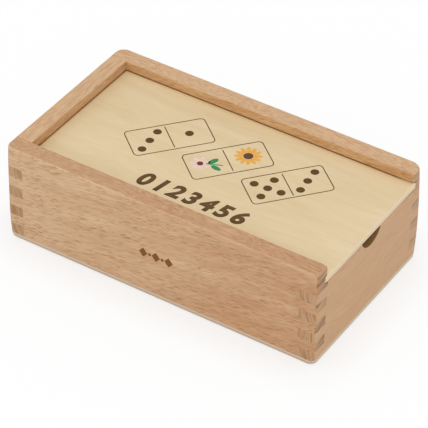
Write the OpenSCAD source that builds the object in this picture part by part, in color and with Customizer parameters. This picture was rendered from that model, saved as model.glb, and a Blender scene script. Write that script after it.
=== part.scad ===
// Domino storage box: a finger-jointed wooden case whose sheet lid slides in
// grooves and leaves over the lowered end wall. Millimetres.
// The origin is the middle of the underside. +X points to the mouth, where
// the lid comes out, +Y to the back wall and +Z up.

/* [Case] */
// Outside length of the case, along the lid's travel
case_l = 180; // [140:1:240]
// Outside width of the case
case_w = 102; // [80:1:140]
// Height from the table to the rim
case_h = 57; // [45:1:90]
// Thickness of the four walls
wall_t = 9.5; // [7.5:0.5:13]
// Thickness of the sheet glued under the walls
base_t = 3; // [2:0.5:6]
// Radius of the upright outer corners
corner_r = 3; // [1:0.5:7]
// Radius of the rounded lower edge
foot_r = 2; // [0.5:0.5:4]
// Radius of the eased outer edge of the rim
rim_r = 1; // [0.2:0.1:2]

/* [Lid] */
// Thickness of the lid sheet
lid_t = 3.3; // [3:0.1:6]
// Depth of the lid's top below the rim
lid_drop = 6; // [4:0.2:9]
// Depth of the groove that the lid slides in
groove_d = 2.5; // [1.5:0.25:4]
// Running clearance under the lid, and beside it in the groove
lid_gap = 0.25; // [0.15:0.05:0.5]
// Clearance over the lid, up to the groove's top
lid_clear = 0.9; // [0.2:0.1:1.5]
// Radius of the lid's rounded outer end
nose_r = 1; // [0.5:0.5:3]

/* [Corner joints] */
// Height of one finger of a corner joint
finger_h = 6; // [4:0.5:10]

/* [Thumb notch] */
// Radius of the thumb notch in the lowered end wall
notch_r = 9.5; // [6:0.5:12]
// Height of the notch's centre above that wall's top
notch_rise = 3.5; // [0:0.5:5]

/* [Hidden] */
$fn = 96;
beech = [0.79, 0.64, 0.50];
plywood = [0.86, 0.76, 0.60];

// What a cut runs past the face that it opens
over = 1;
// Half sizes of the case outside, and of the room between the walls
half_l = case_l / 2;
half_w = case_w / 2;
room_l = half_l - wall_t;
room_w = half_w - wall_t;
// Levels of the lid, of its groove and of the lowered wall's top
lid_top = case_h - lid_drop;
lid_bottom = lid_top - lid_t;
groove_top = lid_top + lid_clear;
mouth_top = lid_bottom - lid_gap;
// The lid's two long edges and its inner end stay lid_gap off the groove
groove_half_l = room_l + groove_d;
groove_half_w = room_w + groove_d;
lid_half_w = groove_half_w - lid_gap;
lid_inner_x = lid_gap - groove_half_l;
// Fingers that each end wall sends through the long walls
finger_count = floor(((mouth_top - base_t) / finger_h + 1) / 2);

// What rounding takes off a corner at the origin of a shape in +X and +Y
module corner_waste(r) {
    difference() {
        translate([-over, -over]) square(r + over);
        translate([r, r]) circle(r);
    }
}

// Upright rectangle, centred in X and standing on Y = 0, with rounded corners
module rounded_bar(half, height, low_r, high_r) {
    difference() {
        translate([-half, 0]) square([2 * half, height]);
        for (side = [0, 1]) mirror([side, 0]) {
            translate([-half, 0]) corner_waste(low_r);
            translate([-half, height]) mirror([0, 1]) corner_waste(high_r);
        }
    }
}

// The whole case as one solid block, rounded as it is sanded after gluing
module sanded_block() {
    intersection() {
        translate([0, -half_w, 0])
            linear_extrude(case_h) rounded_bar(half_l, case_w, corner_r, corner_r);
        translate([0, half_w, 0]) rotate([90, 0, 0])
            linear_extrude(case_w) rounded_bar(half_l, case_h, foot_r, rim_r);
        translate([-half_l, 0, 0]) rotate([90, 0, 90])
            linear_extrude(case_l) rounded_bar(half_w, case_h, foot_r, rim_r);
    }
}

// Fingers of the end wall at end -1 or 1, over the whole width of the case.
// The slots that take them run past the outside by grow.
module end_fingers(end, grow = 0) {
    for (i = [0 : finger_count - 1])
        translate([end * (room_l + (wall_t + grow) / 2), 0, base_t + (2 * i + 0.5) * finger_h])
            cube([wall_t + grow, case_w + 2 * grow, finger_h], center = true);
}

// Space of the grooves, from the closed end out through the mouth
module lid_space() {
    translate([-groove_half_l, -groove_half_w, mouth_top])
        cube([groove_half_l + half_l + over, 2 * groove_half_w, groove_top - mouth_top]);
}

// Long wall on side -1 (front) or 1 (back)
module long_wall(side) {
    intersection() {
        sanded_block();
        difference() {
            translate([-half_l, side > 0 ? room_w : -half_w, base_t])
                cube([case_l, wall_t, case_h - base_t]);
            for (end = [-1, 1]) end_fingers(end, over);
            lid_space();
        }
    }
}

// End wall at end -1 (closed) or 1 (mouth), between the long walls, with its fingers
module end_wall(end, top) {
    intersection() {
        sanded_block();
        union() {
            translate([end > 0 ? room_l : -half_l, -room_w, base_t])
                cube([wall_t, 2 * room_w, top - base_t]);
            end_fingers(end);
        }
    }
}

module front_wall() {
    color(beech) long_wall(-1);
}

module back_wall() {
    color(beech) long_wall(1);
}

module closed_end_wall() {
    color(beech) difference() {
        end_wall(-1, case_h);
        lid_space();
    }
}

module mouth_end_wall() {
    color(beech) difference() {
        end_wall(1, mouth_top);
        translate([room_l - over, 0, mouth_top + notch_rise]) rotate([0, 90, 0])
            cylinder(h = wall_t + 2 * over, r = notch_r);
    }
}

module bottom_panel() {
    color(plywood) intersection() {
        sanded_block();
        translate([-half_l, -half_w, 0]) cube([case_l, case_w, base_t]);
    }
}

// Flat sheet with its outer end rounded over, flush with the lowered wall
module lid() {
    color(plywood) translate([0, lid_half_w, 0]) rotate([90, 0, 0])
        linear_extrude(2 * lid_half_w) difference() {
            translate([lid_inner_x, lid_bottom]) square([half_l - lid_inner_x, lid_t]);
            translate([half_l, lid_top]) rotate(180) corner_waste(nose_r);
        }
}

front_wall();
back_wall();
closed_end_wall();
mouth_end_wall();
bottom_panel();
lid();
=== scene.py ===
"""Domino storage box: a finger-jointed beech case and the printed plywood lid that slides in its grooves.

+X points to the mouth, where the lid comes out, -Y to the front wall and +Z up, and the origin is the
middle of the underside. Sizes are in millimetres, and meshes are in metres.
"""

import logging
import math
from collections.abc import Callable, Iterator, Sequence
from contextlib import contextmanager
from dataclasses import dataclass, field
from enum import Enum

import bmesh
import bpy
from mathutils import Matrix, Vector


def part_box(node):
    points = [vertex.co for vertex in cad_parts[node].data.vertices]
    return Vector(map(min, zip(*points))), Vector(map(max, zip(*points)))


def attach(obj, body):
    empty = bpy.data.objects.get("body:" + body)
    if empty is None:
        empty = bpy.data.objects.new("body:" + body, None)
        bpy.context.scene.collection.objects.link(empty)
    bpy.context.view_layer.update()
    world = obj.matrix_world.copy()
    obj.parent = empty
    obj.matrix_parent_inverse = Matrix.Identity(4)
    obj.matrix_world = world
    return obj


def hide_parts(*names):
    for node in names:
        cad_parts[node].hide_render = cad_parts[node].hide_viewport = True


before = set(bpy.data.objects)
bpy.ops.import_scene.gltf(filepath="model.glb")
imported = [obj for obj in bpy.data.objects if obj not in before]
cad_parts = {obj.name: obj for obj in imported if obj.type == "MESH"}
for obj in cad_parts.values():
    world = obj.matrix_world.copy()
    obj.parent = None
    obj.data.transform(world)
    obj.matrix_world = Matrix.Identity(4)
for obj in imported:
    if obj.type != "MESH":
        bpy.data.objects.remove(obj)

LOG = logging.getLogger("domino_box")
MM = 0.001
# How near to a plane a point counts as lying on it, in millimetres
CLOSE = 0.01
Point = tuple[float, float, float]
FaceTest = Callable[[Vector, Vector], bool]
PointTest = Callable[[Vector], bool]
WHITE = (1.0, 1.0, 1.0, 1.0)
# How far apart the rings of the peeled veneers show, and how far these wander, in millimetres
PLY_RING_SPACING = 9.0
PLY_WANDER = 16.0


class Side(Enum):
    """A long side of the case, by the sign of its Y."""

    FRONT = -1
    BACK = 1


class End(Enum):
    """An end of the case, by the sign of its X."""

    CLOSED = -1
    MOUTH = 1


@dataclass(frozen=True)
class Arris:
    """An edge of a workpiece as a maker sees it, in millimetres."""

    start: Vector
    end: Vector
    turn: float

    @property
    def middle(self) -> Vector:
        """The point halfway along the edge."""
        return (self.start + self.end) / 2

    @property
    def sharp(self) -> bool:
        """Whether the faces beside the edge meet at a clear angle."""
        return self.turn > 50.0

    def lies_on(self, axis: int, place: float) -> bool:
        """Whether both ends lie on a plane across an axis."""
        return abs(self.start[axis] - place) < CLOSE and abs(self.end[axis] - place) < CLOSE


ArrisTest = Callable[[Arris], bool]


class Workpiece:
    """A mesh on the bench. Edit-mode operators shape it, on what a test picks out by its place."""

    def __init__(self, obj: bpy.types.Object, name: str) -> None:
        """Take a fresh object to the bench, with its place put into its mesh.

        Args:
            obj: The object that a primitive operator has just added.
            name: What the piece is called.
        """
        self.obj = obj
        self.obj.name = name
        self.obj.data.name = name
        self.choose()
        bpy.ops.object.transform_apply(location=True, rotation=True, scale=True)

    @classmethod
    def block(cls, name: str, low: Point, high: Point) -> "Workpiece":
        """Saw a block to size.

        Args:
            name: What the piece is called.
            low: Its lowest corner.
            high: Its highest corner.

        Returns:
            The block, ready to be shaped.
        """
        bpy.ops.object.select_all(action="DESELECT")
        start, stop = Vector(low), Vector(high)
        bpy.ops.mesh.primitive_cube_add(size=1.0, location=(start + stop) / 2 * MM)
        bpy.context.object.scale = (stop - start) * MM
        return cls(bpy.context.object, name)

    @classmethod
    def disc(cls, name: str, centre: Point, radii: tuple[float, float], turn: float = 0.0,
             corners: int = 32, upright: bool = False) -> "Workpiece":
        """Lay a flat disc or oval, or a polygon with few corners.

        Args:
            name: What the piece is called.
            centre: Its middle.
            radii: Its half length and half width.
            turn: The angle of its length from +X, in radians.
            corners: How many points its edge has.
            upright: Whether it stands up and faces the front.

        Returns:
            The disc, ready to be given a thickness.
        """
        bpy.ops.object.select_all(action="DESELECT")
        tilt = math.radians(90.0) if upright else 0.0
        bpy.ops.mesh.primitive_circle_add(vertices=corners, radius=1.0, fill_type="NGON",
                                          location=Vector(centre) * MM, rotation=(tilt, 0.0, turn))
        bpy.context.object.scale = (radii[0] * MM, radii[1] * MM, 1.0)
        return cls(bpy.context.object, name)

    @classmethod
    def panel(cls, name: str, centre: Point, size: tuple[float, float], turn: float = 0.0) -> "Workpiece":
        """Lay a flat oblong.

        Args:
            name: What the piece is called.
            centre: Its middle.
            size: Its length and width.
            turn: The angle of its length from +X, in radians.

        Returns:
            The oblong, ready to be raised.
        """
        bpy.ops.object.select_all(action="DESELECT")
        bpy.ops.mesh.primitive_plane_add(size=1.0, location=Vector(centre) * MM, rotation=(0.0, 0.0, turn))
        bpy.context.object.scale = (size[0] * MM, size[1] * MM, 1.0)
        return cls(bpy.context.object, name)

    @classmethod
    def rod(cls, name: str, centre: Point, radius: float, length: float) -> "Workpiece":
        """Turn a thick rod that lies along X.

        Args:
            name: What the piece is called.
            centre: Its middle.
            radius: Its radius.
            length: Its length.

        Returns:
            The rod, ready to cut with.
        """
        bpy.ops.object.select_all(action="DESELECT")
        bpy.ops.mesh.primitive_cylinder_add(vertices=96, radius=radius * MM, depth=length * MM,
                                            location=Vector(centre) * MM,
                                            rotation=(0.0, math.radians(90.0), 0.0))
        return cls(bpy.context.object, name)

    def choose(self) -> None:
        """Select this piece and nothing else."""
        bpy.ops.object.select_all(action="DESELECT")
        self.obj.select_set(True)
        bpy.context.view_layer.objects.active = self.obj

    @contextmanager
    def editing(self, kind: str) -> Iterator[bmesh.types.BMesh]:
        """Open the mesh in edit mode with nothing selected, and close it afterwards.

        Args:
            kind: What is to be selected: VERT, EDGE or FACE.

        Yields:
            The mesh as edit mode holds it.
        """
        self.choose()
        bpy.ops.object.mode_set(mode="EDIT")
        bpy.ops.mesh.select_mode(type=kind)
        bpy.ops.mesh.select_all(action="DESELECT")
        yield bmesh.from_edit_mesh(self.obj.data)
        bpy.ops.object.mode_set(mode="OBJECT")

    def mark(self, levels: Sequence[float]) -> None:
        """Scribe level lines round the piece by bisecting it.

        Args:
            levels: How high the lines are.
        """
        with self.editing("FACE"):
            for level in levels:
                bpy.ops.mesh.select_all(action="SELECT")
                bpy.ops.mesh.bisect(plane_co=(0.0, 0.0, level * MM), plane_no=(0.0, 0.0, 1.0))

    def pick_faces(self, mesh: bmesh.types.BMesh, wanted: FaceTest) -> None:
        """Select the faces whose middle and normal pass a test.

        Args:
            mesh: The mesh in edit mode.
            wanted: The test, given the middle in millimetres and the normal.
        """
        for face in mesh.faces:
            face.select_set(wanted(face.calc_center_median() / MM, face.normal))
        bmesh.update_edit_mesh(self.obj.data)

    def pick_arrises(self, mesh: bmesh.types.BMesh, wanted: ArrisTest) -> None:
        """Select the edges that pass a test.

        Args:
            mesh: The mesh in edit mode.
            wanted: The test, given the edge as an Arris.
        """
        mesh.normal_update()
        for edge in mesh.edges:
            turn = math.degrees(edge.calc_face_angle(0.0))
            arris = Arris(edge.verts[0].co / MM, edge.verts[1].co / MM, turn)
            edge.select_set(wanted(arris))
        bmesh.update_edit_mesh(self.obj.data)

    def pick_points(self, mesh: bmesh.types.BMesh, wanted: PointTest) -> None:
        """Select the points that pass a test.

        Args:
            mesh: The mesh in edit mode.
            wanted: The test, given a point in millimetres.
        """
        for vert in mesh.verts:
            vert.select_set(wanted(vert.co / MM))
        mesh.select_flush_mode()
        bmesh.update_edit_mesh(self.obj.data)

    def pull_faces(self, wanted: FaceTest, by: Point) -> None:
        """Extrude the faces that pass a test.

        Args:
            wanted: The test, given a face's middle and normal.
            by: How far and where they go.
        """
        with self.editing("FACE") as mesh:
            self.pick_faces(mesh, wanted)
            move = {"value": [step * MM for step in by]}
            bpy.ops.mesh.extrude_region_move(TRANSFORM_OT_translate=move)

    def round_over(self, wanted: ArrisTest, radius: float, steps: int) -> None:
        """Bevel the edges that pass a test.

        Args:
            wanted: The test, given an edge as an Arris.
            radius: The radius of the rounding.
            steps: How many faces it has.
        """
        with self.editing("EDGE") as mesh:
            self.pick_arrises(mesh, wanted)
            bpy.ops.mesh.bevel(offset=radius * MM, offset_type="OFFSET", segments=steps, profile=0.5,
                               affect="EDGES", clamp_overlap=False)

    def swell(self, wanted: PointTest, corner: Point, factor: float) -> None:
        """Scale the points that pass a test in plan, about a corner.

        Args:
            wanted: The test, given a point in millimetres.
            corner: The point that stays.
            factor: How far the others move from it, as a share.
        """
        with self.editing("VERT") as mesh:
            self.pick_points(mesh, wanted)
            centre = [place * MM for place in corner]
            bpy.ops.transform.resize(value=(factor, factor, 1.0), center_override=centre)

    def nudge(self, wanted: PointTest, by: Point) -> None:
        """Move the points that pass a test.

        Args:
            wanted: The test, given a point in millimetres.
            by: How far and where they go.
        """
        with self.editing("VERT") as mesh:
            self.pick_points(mesh, wanted)
            bpy.ops.transform.translate(value=[step * MM for step in by])

    def carve(self, cutter: "Workpiece") -> None:
        """Cut another piece's shape out of this one, and throw the cutter away.

        Args:
            cutter: The piece to cut with.
        """
        self.choose()
        cut = self.obj.modifiers.new("cut", "BOOLEAN")
        cut.operation = "DIFFERENCE"
        cut.solver = "EXACT"
        cut.object = cutter.obj
        bpy.ops.object.modifier_apply(modifier=cut.name)
        bpy.data.objects.remove(cutter.obj)

    def thicken(self, by: Point) -> None:
        """Give a flat piece its thickness, as a closed mesh that faces outwards."""
        self.pull_faces(lambda middle, normal: True, by)
        self.face_out()

    def face_out(self) -> None:
        """Merge doubled points and turn every face outwards."""
        with self.editing("FACE"):
            bpy.ops.mesh.select_all(action="SELECT")
            bpy.ops.mesh.remove_doubles(threshold=1e-7)
            bpy.ops.mesh.normals_make_consistent(inside=False)

    def copy(self, name: str) -> "Workpiece":
        """Make another one, with its own mesh.

        Args:
            name: What the copy is called.

        Returns:
            The copy, in the same place.
        """
        self.choose()
        bpy.ops.object.duplicate(linked=False)
        return Workpiece(bpy.context.object, name)

    def shift(self, by: Point) -> None:
        """Move the whole mesh."""
        with self.editing("VERT"):
            bpy.ops.mesh.select_all(action="SELECT")
            bpy.ops.transform.translate(value=[step * MM for step in by])

    def spin(self, centre: Point, angle: float) -> None:
        """Turn the whole mesh in plan.

        Args:
            centre: The point that it turns about.
            angle: How far it turns, in radians.
        """
        with self.editing("VERT"):
            bpy.ops.mesh.select_all(action="SELECT")
            # The operator counts clockwise as positive
            bpy.ops.transform.rotate(value=-angle, orient_axis="Z",
                                     center_override=[place * MM for place in centre])

    def join(self, others: Sequence["Workpiece"]) -> None:
        """Put other pieces' meshes into this one.

        Args:
            others: The pieces that end up in it.
        """
        self.choose()
        for other in others:
            other.obj.select_set(True)
        bpy.ops.object.join()

    def smooth(self) -> None:
        """Shade the rounded stretches smooth and keep the flats flat."""
        self.choose()
        bpy.ops.object.shade_smooth_by_angle(angle=math.radians(40.0))
        weigh = self.obj.modifiers.new("weigh", "WEIGHTED_NORMAL")
        weigh.keep_sharp = True
        bpy.ops.object.modifier_apply(modifier=weigh.name)

    def dress(self, material: bpy.types.Material, body: str, slot: str, *nodes: str) -> None:
        """Give the piece its finish, its body and the nodes that it stands for.

        Args:
            material: The finish.
            body: The body that carries it.
            slot: The material slot of the record; not used.
            nodes: The nodes that it replaces, if any.
        """
        self.obj.data.materials.clear()
        self.obj.data.materials.append(material)
        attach(self.obj, body)
        if nodes:
            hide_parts(*nodes)
        LOG.info("%s: %d faces, on %s", self.obj.name, len(self.obj.data.polygons), body)


# ---------------------------------------------------------------------------------------- finishes


def colour(code: str) -> tuple[float, float, float, float]:
    """Turn a painter's hex code into the linear colour that a shader takes.

    Args:
        code: Six hex digits after a hash sign.

    Returns:
        Red, green, blue and alpha.
    """
    parts = [int(code[k:k + 2], 16) / 255 for k in (1, 3, 5)]
    linear = [c / 12.92 if c <= 0.04045 else ((c + 0.055) / 1.055) ** 2.4 for c in parts]
    return (linear[0], linear[1], linear[2], 1.0)


class Sketch:
    """A node tree being laid out, with short ways to add to it."""

    def __init__(self, tree: bpy.types.NodeTree) -> None:
        """Start on an empty or a fresh tree."""
        self.tree = tree

    def plug(self, socket: bpy.types.NodeSocket, value: object) -> None:
        """Link a socket to another, or set its value.

        Args:
            socket: The input socket.
            value: An output socket, or a plain value.
        """
        if isinstance(value, bpy.types.NodeSocket):
            self.tree.links.new(value, socket)
        else:
            socket.default_value = value

    def add(self, kind: str, inputs: dict[str | int, object] | None = None,
            **settings: object) -> bpy.types.Node:
        """Add a node.

        Args:
            kind: The node's type, without "ShaderNode".
            inputs: Values or sockets for its inputs, by name or number.
            settings: Its own properties.

        Returns:
            The node.
        """
        node = self.tree.nodes.new("ShaderNode" + kind)
        for key, value in settings.items():
            setattr(node, key, value)
        for key, value in (inputs or {}).items():
            self.plug(node.inputs[key], value)
        return node

    def maths(self, operation: str, *values: object) -> bpy.types.NodeSocket:
        """Add one sum and return its result."""
        return self.add("Math", dict(enumerate(values)), operation=operation).outputs[0]

    def vector(self, operation: str, *values: object) -> bpy.types.NodeSocket:
        """Add one sum of vectors and return its result, which may be a plain number."""
        node = self.add("VectorMath", dict(enumerate(values)), operation=operation)
        return node.outputs["Value" if operation in ("DOT_PRODUCT", "LENGTH") else "Vector"]

    def scaled(self, vector: object, factor: object) -> bpy.types.NodeSocket:
        """Scale a vector by a number."""
        return self.add("VectorMath", {0: vector, "Scale": factor}, operation="SCALE").outputs[0]

    def part(self, vector: object, axis: int) -> bpy.types.NodeSocket:
        """Take one part of a vector: 0 for X, 1 for Y or 2 for Z."""
        return self.add("SeparateXYZ", {0: vector}).outputs[axis]

    def drifting(self, tone: object, liveliness: float, place: object,
                 drift: Point) -> bpy.types.NodeSocket:
        """Spread a tone about its middle, shift it along a board, and keep it between 0 and 1.

        Args:
            tone: The tone from 0 to 1.
            liveliness: How many times its contrast grows.
            place: The place on the board in metres.
            drift: How far the tone moves for each metre of X, Y and Z.

        Returns:
            The tone.
        """
        along = self.vector("DOT_PRODUCT", place, drift)
        start = self.maths("ADD", along, 0.5 - liveliness / 2)
        return self.add("Math", {0: tone, 1: liveliness, 2: start}, operation="MULTIPLY_ADD",
                        use_clamp=True).outputs[0]

    def in_tree(self, place: object, origin: Point = (0.0, 0.0, 0.0),
                turn: Point = (0.0, 0.0, 0.0)) -> bpy.types.NodeSocket:
        """Find where a place on a board was in its tree.

        Args:
            place: The place on the board in metres.
            origin: Where in the tree the board was, in millimetres.
            turn: How the board lay there, in degrees.

        Returns:
            The place in the tree, in millimetres.
        """
        return self.add("Mapping", {
            "Vector": place, "Scale": (1 / MM,) * 3, "Location": origin,
            "Rotation": tuple(math.radians(t) for t in turn)}).outputs[0]

    def blend(self, share: object, first: object, second: object, how: str = "MIX") -> bpy.types.NodeSocket:
        """Mix two colours.

        Args:
            share: How much of the second one shows.
            first: The colour underneath.
            second: The colour on top.
            how: The blend type.

        Returns:
            The mixed colour.
        """
        node = self.add("Mix", data_type="RGBA", blend_type=how)
        for place, value in ((0, share), (6, first), (7, second)):
            self.plug(node.inputs[place], value)
        return node.outputs[2]

    def ramp(self, value: object, low: float, high: float) -> bpy.types.NodeSocket:
        """Turn a value smoothly into a share, which falls where low is the larger.

        Args:
            value: The value.
            low: Where the share is 0.
            high: Where it is 1.

        Returns:
            The share from 0 to 1.
        """
        bounds = {"Value": value, "From Min": min(low, high), "From Max": max(low, high),
                  "To Min": float(low > high), "To Max": float(low < high)}
        return self.add("MapRange", bounds, interpolation_type="SMOOTHSTEP").outputs[0]

    def stretched(self, place: object, size: Point, shift: Point = (0.0, 0.0, 0.0)) -> bpy.types.NodeSocket:
        """Scale a place so that a pattern's cells measure size in it.

        Args:
            place: The place in millimetres.
            size: A cell's three sizes in millimetres.
            shift: How many cells the pattern is moved by.

        Returns:
            The scaled place.
        """
        scale = tuple(1 / s for s in size)
        node = self.add("Mapping", {"Vector": place, "Scale": scale, "Location": shift})
        return node.outputs[0]

    def grey(self, value: object) -> bpy.types.NodeSocket:
        """Turn a value from 0 to 1 into a grey of softened contrast."""
        level = self.ramp(value, 0.0, 1.0)
        return self.add("CombineColor", {0: level, 1: level, 2: level}).outputs[0]

    def noise(self, place: object, size: Point, detail: float = 2.0,
              shift: Point = (0.0, 0.0, 0.0)) -> bpy.types.NodeSocket:
        """Cloudy noise from 0 to 1 whose lumps measure about size."""
        spot = self.stretched(place, size, shift)
        return self.add("TexNoise", {"Vector": spot, "Scale": 1.0, "Detail": detail}).outputs[0]


def new_group(name: str, takes: dict[str, str],
              gives: dict[str, str]) -> tuple[Sketch, bpy.types.Node, bpy.types.Node]:
    """Start a shader node group with named sockets.

    Args:
        name: What the group is called.
        takes: Its inputs' names and kinds, such as Float.
        gives: Its outputs' names and kinds.

    Returns:
        The group's sketch, its input node and its output node.
    """
    tree = bpy.data.node_groups.new(name, "ShaderNodeTree")
    for names, way in ((takes, "INPUT"), (gives, "OUTPUT")):
        for socket, kind in names.items():
            tree.interface.new_socket(socket, in_out=way, socket_type="NodeSocket" + kind)
    return Sketch(tree), tree.nodes.new("NodeGroupInput"), tree.nodes.new("NodeGroupOutput")


def make_figure_group() -> bpy.types.NodeTree:
    """Build the figure of a sawn board: its tone, its year rings and its fibre.

    Returns:
        The group. Place is in the tree's own axes, in millimetres: X along the grain, Z outwards.
    """
    takes = {"Place": "Vector", "Ring Spacing": "Float", "Wander": "Float"}
    sketch, given, result = new_group("board_figure", takes, {
        "Place": "Vector", "Tone": "Float", "Rings": "Float", "Fibre": "Float"})
    place, spacing, wander = (given.outputs[name] for name in takes)
    # Sizes of the bends, the ripples, the patches of one tone and the fibres
    bend, wave, patch, fibre = (60.0, 24.0, 24.0), (60.0, 16.0, 16.0), (48.0, 6.5, 6.5), (11.0, 0.5, 0.5)
    # How many rings a ripple spans, and how quickly a ring darkens towards its outer edge
    ripple_rings, ring_edge = 2.5, 3.0
    sway = sketch.add("TexNoise", {"Vector": sketch.stretched(place, bend), "Scale": 1.0,
                                   "Detail": 1.0}).outputs["Color"]
    swayed = sketch.scaled(sketch.vector("SUBTRACT", sway, (0.5, 0.5, 0.5)), wander)
    bent = sketch.vector("ADD", place, swayed)
    ripple = sketch.noise(bent, wave, 1.0, (3.0, 7.0, 1.0))
    years = sketch.maths("ADD", sketch.maths("DIVIDE", sketch.part(bent, 2), spacing),
                         sketch.maths("MULTIPLY", ripple, ripple_rings))
    rings = sketch.maths("POWER", sketch.maths("FRACT", years), ring_edge)
    for name, socket in (("Place", bent), ("Tone", sketch.noise(bent, patch, 3.0)), ("Rings", rings),
                         ("Fibre", sketch.noise(bent, fibre, 2.0))):
        sketch.plug(result.inputs[name], socket)
    return sketch.tree


def make_fleck_group() -> bpy.types.NodeTree:
    """Build the short dark flecks that the rays of beech leave along the grain.

    Returns:
        The group. Share says how many of the places that could hold a fleck do.
    """
    takes = {"Place": "Vector", "Share": "Float"}
    sketch, given, result = new_group("ray_flecks", takes, {"Flecks": "Float"})
    place, share = (given.outputs[name] for name in takes)
    # Sizes of a fleck in each layer, and how many cells the layer is moved by
    layouts = (((7.0, 0.5, 0.5), (0.0, 0.0, 0.0)), ((5.0, 0.42, 0.42), (5.3, 2.1, 8.7)))
    # The same for the fine lines, with their strength beside a fleck's
    line_size, line_shift, line_strength = (9.0, 0.42, 0.42), (2.0, 9.0, 4.0), 0.5
    # The flecks lie in clouds: the same for these, the strength between them, and what they add to it
    cloud_size, cloud_shift, quiet, cloud_gain = (28.0, 6.0, 6.0), (7.0, 3.0, 1.0), 0.6, 0.45
    threshold = sketch.maths("SUBTRACT", 1.0, share)
    # A skew keeps the flecks of neighbouring rows from lining up
    skew = sketch.vector("DOT_PRODUCT", place, (0.0, 2.7, 3.1))
    skewed = sketch.vector("ADD", place, sketch.add("CombineXYZ", {0: skew}).outputs[0])
    layers = []
    for size, shift in layouts:
        spot = sketch.stretched(skewed, size, shift)
        cells = sketch.add("TexVoronoi", {"Vector": spot, "Scale": 1.0})
        luck = sketch.part(cells.outputs["Color"], 0)
        excess = sketch.maths("MAXIMUM", sketch.maths("SUBTRACT", luck, threshold), 0.0)
        strength = sketch.maths("POWER", sketch.maths("DIVIDE", excess, share), 1.3)
        body = sketch.ramp(cells.outputs["Distance"], 0.48, 0.2)
        layers.append(sketch.maths("MULTIPLY", body, strength))
    lines = sketch.ramp(sketch.noise(skewed, line_size, 1.0, line_shift), 0.5, 0.72)
    layers.append(sketch.maths("MULTIPLY", lines, line_strength))
    flecks = sketch.maths("MAXIMUM", sketch.maths("MAXIMUM", *layers[:2]), layers[2])
    clouds = sketch.ramp(sketch.noise(place, cloud_size, 1.0, cloud_shift), 0.35, 0.65)
    density = sketch.maths("MULTIPLY_ADD", clouds, cloud_gain, quiet)
    sketch.plug(result.inputs["Flecks"], sketch.maths("MULTIPLY", flecks, density))
    return sketch.tree


def make_end_grain_group() -> bpy.types.NodeTree:
    """Build the look of a board's sawn end: where it shows, and the streaks on it.

    Returns:
        The group. Place is in the tree's own axes, Normal and Grain in the object's.
    """
    takes = {"Place": "Vector", "Normal": "Vector", "Grain": "Vector"}
    sketch, given, result = new_group("end_grain", takes, {"Mask": "Float", "Streaks": "Float"})
    place, normal, grain = (given.outputs[name] for name in takes)
    facing = sketch.vector("DOT_PRODUCT", normal, grain)
    mask = sketch.ramp(sketch.maths("ABSOLUTE", facing), 0.35, 0.8)
    coarse = sketch.noise(place, (30.0, 1.1, 16.0), 1.0)
    fine = sketch.noise(place, (30.0, 0.45, 7.0), 1.0, (0.0, 4.0, 2.0))
    # The fine streaks count less than half as much as the coarse ones
    streaks = sketch.ramp(sketch.maths("MULTIPLY_ADD", fine, 0.4, coarse), 0.58, 0.86)
    sketch.plug(result.inputs["Mask"], mask)
    sketch.plug(result.inputs["Streaks"], streaks)
    return sketch.tree


def make_edge_highlight_group() -> bpy.types.NodeTree:
    """Build the mask of the upper edges that sanding has rounded, from the way that the surface faces. The
    wood there is paler from sanding, and carries a painted highlight where the rounding catches the light.

    Returns:
        The group. Normal is in the object's axes.
    """
    sketch, given, result = new_group("sanded_edge_highlight", {"Normal": "Vector"}, {"Mask": "Float"})
    upward = sketch.part(given.outputs[0], 2)
    mask = sketch.maths("MULTIPLY", sketch.ramp(upward, 0.1, 0.45), sketch.ramp(upward, 0.98, 0.85))
    sketch.plug(result.inputs["Mask"], mask)
    return sketch.tree


@dataclass(frozen=True)
class Groups:
    """The node groups that the finishes share."""

    figure: bpy.types.NodeTree = field(default_factory=make_figure_group)
    flecks: bpy.types.NodeTree = field(default_factory=make_fleck_group)
    end_grain: bpy.types.NodeTree = field(default_factory=make_end_grain_group)
    # Mask of the rounded upper edges, for their paler sanded wood and painted highlight
    edge: bpy.types.NodeTree = field(default_factory=make_edge_highlight_group)


def fresh_material(name: str) -> tuple[bpy.types.Material, Sketch, bpy.types.Node]:
    """Start a material.

    Args:
        name: What the material is called.

    Returns:
        The material, its sketch and its shader.
    """
    material = bpy.data.materials.new(name)
    material.use_nodes = True
    sketch = Sketch(material.node_tree)
    return material, sketch, material.node_tree.nodes["Principled BSDF"]


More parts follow.
